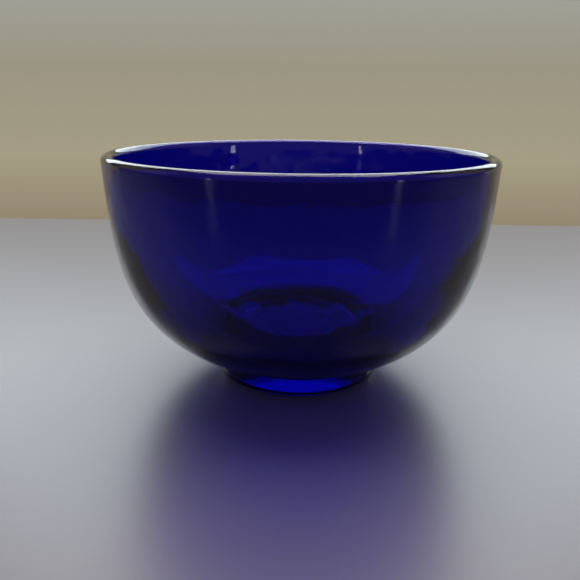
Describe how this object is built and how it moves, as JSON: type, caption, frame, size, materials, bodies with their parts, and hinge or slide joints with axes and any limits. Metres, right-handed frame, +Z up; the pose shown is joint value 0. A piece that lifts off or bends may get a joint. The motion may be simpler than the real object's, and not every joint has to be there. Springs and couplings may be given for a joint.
{
  "type": "glass bowl",
  "caption": "Small round bowl of deep cobalt blue glass with a steep rounded side, a fire-polished rim, a heavy base and a low foot ring.",
  "frame": {"origin": "centre of the foot's flat base, on the surface that the bowl stands on", "axes": "+Z up the bowl's axis and out of its mouth; X and Y are level, and the bowl is the same all round"},
  "size_m": [0.14, 0.14, 0.0835],
  "materials": {
    "cobalt_glass": "smooth, fire-polished, deep transparent cobalt blue"
  },
  "bodies": {
    "root": {"bowl_body": "cobalt_glass", "foot_ring": "cobalt_glass"}
  },
  "joints": []
}
